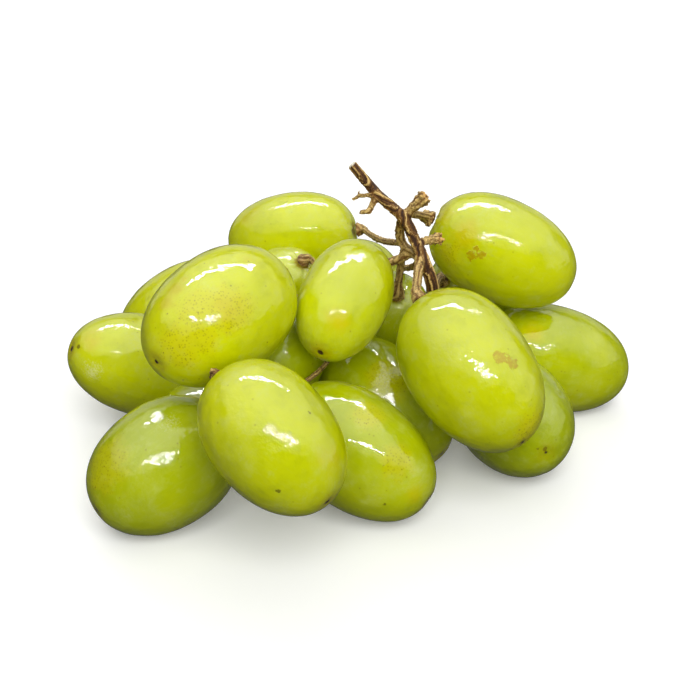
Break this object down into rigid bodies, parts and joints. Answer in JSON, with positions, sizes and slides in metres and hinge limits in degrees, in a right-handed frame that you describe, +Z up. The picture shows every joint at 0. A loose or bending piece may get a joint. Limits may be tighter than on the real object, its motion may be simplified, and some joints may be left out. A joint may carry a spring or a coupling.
{
  "type": "bunch of grapes",
  "caption": "Small loose bunch of long green grapes lying on a table: plump oval berries on a branching woody stem whose cut end stands up out of the middle.",
  "frame": {"origin": "middle of the bunch's bounding box at its base, on the surface that it lies on", "axes": "+Z up from the surface, +X towards the viewer's right and -Y towards the viewer of the reference picture"},
  "size_m": [0.1084, 0.0992, 0.0546],
  "materials": {
    "grape_skin": "glossy, thin translucent skin with a faint bloom",
    "stem_wood": "dry, ridged, dull"
  },
  "bodies": {
    "root": {"grape_01": "grape_skin", "grape_02": "grape_skin", "grape_03": "grape_skin", "grape_04": "grape_skin", "grape_05": "grape_skin", "grape_06": "grape_skin", "grape_07": "grape_skin", "grape_08": "grape_skin", "grape_09": "grape_skin", "grape_10": "grape_skin", "grape_11": "grape_skin", "grape_12": "grape_skin", "grape_13": "grape_skin", "grape_14": "grape_skin", "grape_15": "grape_skin", "grape_16": "grape_skin", "grape_17": "grape_skin", "grape_18": "grape_skin", "grape_19": "grape_skin", "grape_20": "grape_skin", "grape_21": "grape_skin", "stem": "stem_wood"}
  },
  "joints": []
}
